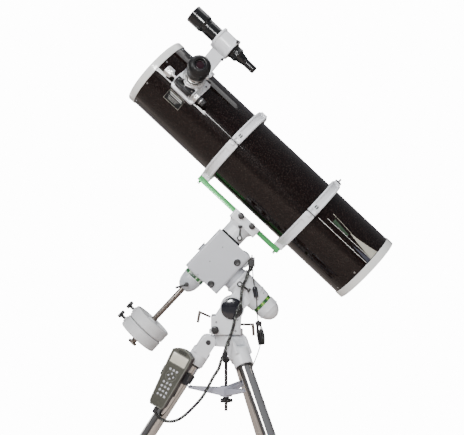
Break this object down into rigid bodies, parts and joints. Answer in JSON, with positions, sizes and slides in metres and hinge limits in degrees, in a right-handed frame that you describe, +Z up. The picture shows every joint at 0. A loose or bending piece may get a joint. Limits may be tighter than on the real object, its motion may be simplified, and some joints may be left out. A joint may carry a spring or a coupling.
{
  "type": "newtonian reflector telescope",
  "caption": "Newtonian reflector tube in hinged rings on a German equatorial mount with counterweights and a steel tripod with spreader and handset.",
  "frame": {"origin": "on the floor under the azimuth axis", "axes": "+Z up, the tube's front points towards -X and up, +Y away from the focuser's side"},
  "size_m": [1.0497, 0.9086, 1.716],
  "materials": {
    "white_casting": "satin white powder coat",
    "housing_grey": "pale grey powder coat",
    "bolt_steel": "plain steel",
    "rod_steel": "dark steel",
    "spreader_grey": "pale grey paint",
    "knob_black": "moulded black",
    "leg_chrome": "polished stainless",
    "extension_steel": "brushed stainless",
    "cover_black": "glossy black",
    "bolt_dark": "dark steel",
    "ring_green": "dark green scale",
    "shaft_chrome": "polished steel",
    "weight_grey": "pale grey paint",
    "bar_green": "green anodised",
    "ring_white": "satin white",
    "tube_black": "gloss black with fine sparkle",
    "end_white": "gloss white",
    "mirror": "aluminised glass",
    "screw_steel": "plain steel",
    "spider_black": "matt black",
    "focuser_white": "satin white",
    "draw_chrome": "polished",
    "focus_silver": "machined",
    "fine_black": "black anodised, knurled",
    "eyepiece_black": "black rubber",
    "bracket_white": "satin white",
    "finder_black": "gloss black",
    "handset_grey": "dark grey moulded",
    "key_grey": "pale silicone keys",
    "holder_black": "black",
    "plug_black": "black",
    "cord_black": "black sleeve"
  },
  "bodies": {
    "tripod": {"tripod_head": "white_casting", "leg_hinge_bolts": "bolt_steel", "handset_cord": "cord_black", "power_cord": "cord_black"},
    "lock_rod": {"mount_lock_rod": "rod_steel"},
    "spreader": {"spreader": "spreader_grey"},
    "spreader_knob": {"spreader_knob": "knob_black"},
    "leg_a": {"leg_casting_a": "white_casting", "leg_tube_a": "leg_chrome", "handset_holder": "holder_black", "handset": "handset_grey"},
    "leg_b": {"leg_casting_b": "white_casting", "leg_tube_b": "leg_chrome"},
    "leg_c": {"leg_casting_c": "white_casting", "leg_tube_c": "leg_chrome"},
    "extension_a": {"leg_extension_a": "extension_steel"},
    "extension_b": {"leg_extension_b": "extension_steel"},
    "extension_c": {"leg_extension_c": "extension_steel"},
    "clamp_a": {"leg_knob_a": "knob_black"},
    "clamp_b": {"leg_knob_b": "knob_black"},
    "clamp_c": {"leg_knob_c": "knob_black"},
    "keypad": {"keypad": "key_grey"},
    "base": {"mount_base": "white_casting", "altitude_covers": "cover_black", "azimuth_knobs": "knob_black", "latitude_bolts": "bolt_dark", "power_hank": "cord_black", "power_plug": "plug_black"},
    "polar_head": {"ra_housing": "white_casting"},
    "ra_ring": {"ra_setting_ring": "ring_green"},
    "ra_clutch": {"ra_clutch_lever": "knob_black"},
    "dec_body": {"dec_housing": "housing_grey", "cord_box": "plug_black"},
    "shaft_lock": {"shaft_lock_lever": "knob_black"},
    "shaft": {"counterweight_shaft": "shaft_chrome"},
    "weight_upper": {"counterweight_upper": "weight_grey"},
    "weight_lower": {"counterweight_lower": "weight_grey"},
    "screw_upper": {"weight_screw_upper": "knob_black"},
    "screw_lower": {"weight_screw_lower": "knob_black"},
    "saddle": {"saddle": "white_casting", "saddle_knobs": "knob_black"},
    "dec_clutch": {"dec_clutch_lever": "knob_black"},
    "rings": {"dovetail_bar": "bar_green", "ring_bases": "ring_white"},
    "ring_front": {"ring_front_top": "ring_white"},
    "ring_rear": {"ring_rear_top": "ring_white"},
    "tube": {"optical_tube": "tube_black", "front_ring": "end_white", "rear_ring": "end_white", "primary_mirror": "mirror", "collimation_knobs": "screw_steel", "spider": "spider_black", "secondary_mirror": "mirror", "focuser_body": "focuser_white", "finder_bracket": "bracket_white", "finder_scope": "finder_black"},
    "draw": {"drawtube": "draw_chrome"},
    "focus": {"focus_knobs": "focus_silver"},
    "fine_focus": {"fine_focus_knob": "fine_black"},
    "eyepiece": {"eyepiece": "eyepiece_black"}
  },
  "joints": [
    {"name": "leg_fold_a", "type": "hinge", "parent": "tripod", "child": "leg_a", "pos_m": [-0.05786, -0.00405, 0.674], "axis": [0.0698, -0.9976, 0], "range_deg": [0, 12]},
    {"name": "leg_extend_a", "type": "slide", "parent": "leg_a", "child": "extension_a", "axis": [-0.5419, -0.0379, -0.8396], "range_m": [0, 0.28]},
    {"name": "leg_clamp_a", "type": "hinge", "parent": "leg_a", "child": "clamp_a", "pos_m": [-0.4209, -0.02943, 0.11145], "axis": [-0.8376, -0.0586, 0.5432], "continuous": true},
    {"name": "leg_fold_b", "type": "hinge", "parent": "tripod", "child": "leg_b", "pos_m": [0.03243, -0.04808, 0.674], "axis": [0.829, 0.5592, 0], "range_deg": [0, 12]},
    {"name": "leg_extend_b", "type": "slide", "parent": "leg_b", "child": "extension_b", "axis": [0.3037, -0.4503, -0.8396], "range_m": [0, 0.28]},
    {"name": "leg_clamp_b", "type": "hinge", "parent": "leg_b", "child": "clamp_b", "pos_m": [0.23594, -0.34979, 0.11145], "axis": [0.4695, -0.6961, 0.5432], "continuous": true},
    {"name": "leg_fold_c", "type": "hinge", "parent": "tripod", "child": "leg_c", "pos_m": [0.02543, 0.05213, 0.674], "axis": [-0.8988, 0.4384, 0], "range_deg": [0, 12]},
    {"name": "leg_extend_c", "type": "slide", "parent": "leg_c", "child": "extension_c", "axis": [0.2381, 0.4882, -0.8396], "range_m": [0, 0.28]},
    {"name": "leg_clamp_c", "type": "hinge", "parent": "leg_c", "child": "clamp_c", "pos_m": [0.18496, 0.37922, 0.11145], "axis": [0.3681, 0.7546, 0.5432], "continuous": true},
    {"name": "spreader_drop", "type": "slide", "parent": "tripod", "child": "spreader", "axis": [0, 0, -1], "range_m": [0, 0.0945]},
    {"name": "spreader_knob_turn", "type": "hinge", "parent": "spreader", "child": "spreader_knob", "pos_m": [0, 0, 0.487], "axis": [0, 0, 1], "continuous": true},
    {"name": "lock_rod_turn", "type": "hinge", "parent": "tripod", "child": "lock_rod", "pos_m": [0, 0, 0.62], "axis": [0, 0, 1], "continuous": true},
    {"name": "azimuth", "type": "hinge", "parent": "tripod", "child": "base", "pos_m": [0, 0, 0.7], "axis": [0, 0, 1], "range_deg": [-10, 10]},
    {"name": "altitude", "type": "hinge", "parent": "base", "child": "polar_head", "pos_m": [0.019, 0, 0.782], "axis": [0, 1, 0], "range_deg": [-8, 7], "deforming": ["handset_cord", "power_cord"]},
    {"name": "ra_ring_turn", "type": "hinge", "parent": "polar_head", "child": "ra_ring", "pos_m": [0.11482, 0, 0.7948], "axis": [0.729, 0, -0.6845], "continuous": true},
    {"name": "ra_clutch", "type": "hinge", "parent": "polar_head", "child": "ra_clutch", "pos_m": [0.04315, -0.046, 0.85798], "axis": [0, 1, 0], "range_deg": [-45, 45]},
    {"name": "right_ascension", "type": "hinge", "parent": "polar_head", "child": "dec_body", "pos_m": [-0.043, 0, 0.943], "axis": [0.729, 0, -0.6845], "range_deg": [-90, 90]},
    {"name": "shaft_lock", "type": "hinge", "parent": "dec_body", "child": "shaft_lock", "pos_m": [-0.12378, -0.05, 0.85698], "axis": [0, 1, 0], "range_deg": [-45, 45]},
    {"name": "shaft_retract", "type": "slide", "parent": "dec_body", "child": "shaft", "axis": [-0.6845, 0, -0.729], "range_m": [-0.114, 0]},
    {"name": "weight_upper_slide", "type": "slide", "parent": "shaft", "child": "weight_upper", "axis": [0.6845, 0, 0.729], "range_m": [0, 0.11]},
    {"name": "weight_lower_slide", "type": "slide", "parent": "shaft", "child": "weight_lower", "axis": [-0.6845, 0, -0.729], "range_m": [0, 0.014]},
    {"name": "weight_upper_screw", "type": "hinge", "parent": "weight_upper", "child": "screw_upper", "pos_m": [-0.30155, 0, 0.78454], "axis": [0.729, 0, -0.6845], "continuous": true},
    {"name": "weight_lower_screw", "type": "hinge", "parent": "weight_lower", "child": "screw_lower", "pos_m": [-0.32893, 0, 0.75538], "axis": [0.729, 0, -0.6845], "continuous": true},
    {"name": "declination", "type": "hinge", "parent": "dec_body", "child": "saddle", "pos_m": [-0.043, 0, 0.943], "axis": [0.6845, 0, 0.729], "continuous": true},
    {"name": "dec_clutch", "type": "hinge", "parent": "saddle", "child": "dec_clutch", "pos_m": [0.04286, -0.044, 1.00229], "axis": [0, 1, 0], "range_deg": [-45, 45]},
    {"name": "dovetail_slide", "type": "slide", "parent": "saddle", "child": "rings", "axis": [0.729, 0, -0.6845], "range_m": [-0.04, 0.04]},
    {"name": "ring_front_open", "type": "hinge", "parent": "rings", "child": "ring_front", "pos_m": [0.02801, -0.1375, 1.29472], "axis": [0.729, 0, -0.6845], "range_deg": [0, 100]},
    {"name": "ring_rear_open", "type": "hinge", "parent": "rings", "child": "ring_rear", "pos_m": [0.25982, -0.1375, 1.07703], "axis": [0.729, 0, -0.6845], "range_deg": [0, 100]},
    {"name": "tube_roll", "type": "hinge", "parent": "rings", "child": "tube", "pos_m": [0.16579, 0, 1.16534], "axis": [0.729, 0, -0.6845], "range_deg": [-45, 45]},
    {"name": "focuser_draw", "type": "slide", "parent": "tube", "child": "draw", "axis": [0.2115, -0.9511, 0.2253], "range_m": [-0.018, 0.02]},
    {"name": "focus_turn", "type": "hinge", "parent": "tube", "child": "focus", "pos_m": [-0.12034, -0.16077, 1.45665], "axis": [0.729, 0, -0.6845], "range_deg": [-210, 235]},
    {"name": "fine_focus_turn", "type": "hinge", "parent": "tube", "child": "fine_focus", "pos_m": [-0.07296, -0.16077, 1.41216], "axis": [0.729, 0, -0.6845], "range_deg": [-2070, 2300]},
    {"name": "eyepiece_pull", "type": "slide", "parent": "draw", "child": "eyepiece", "axis": [0.2115, -0.9511, 0.2253], "range_m": [0, 0.045]},
    {"name": "key_press", "type": "slide", "parent": "leg_a", "child": "keypad", "axis": [0.2741, 0.9511, -0.1427], "range_m": [0, 0.0008], "stiffness_N_per_m": 900}
  ],
  "couplings": [
    {"joint": "leg_fold_b", "follows": "leg_fold_a", "ratio": 1},
    {"joint": "leg_fold_c", "follows": "leg_fold_a", "ratio": 1},
    {"joint": "spreader_drop", "follows": "leg_fold_a", "m_per_rad": 0.45},
    {"joint": "focus_turn", "follows": "focuser_draw", "rad_per_m": 200},
    {"joint": "fine_focus_turn", "follows": "focuser_draw", "rad_per_m": 2000}
  ]
}
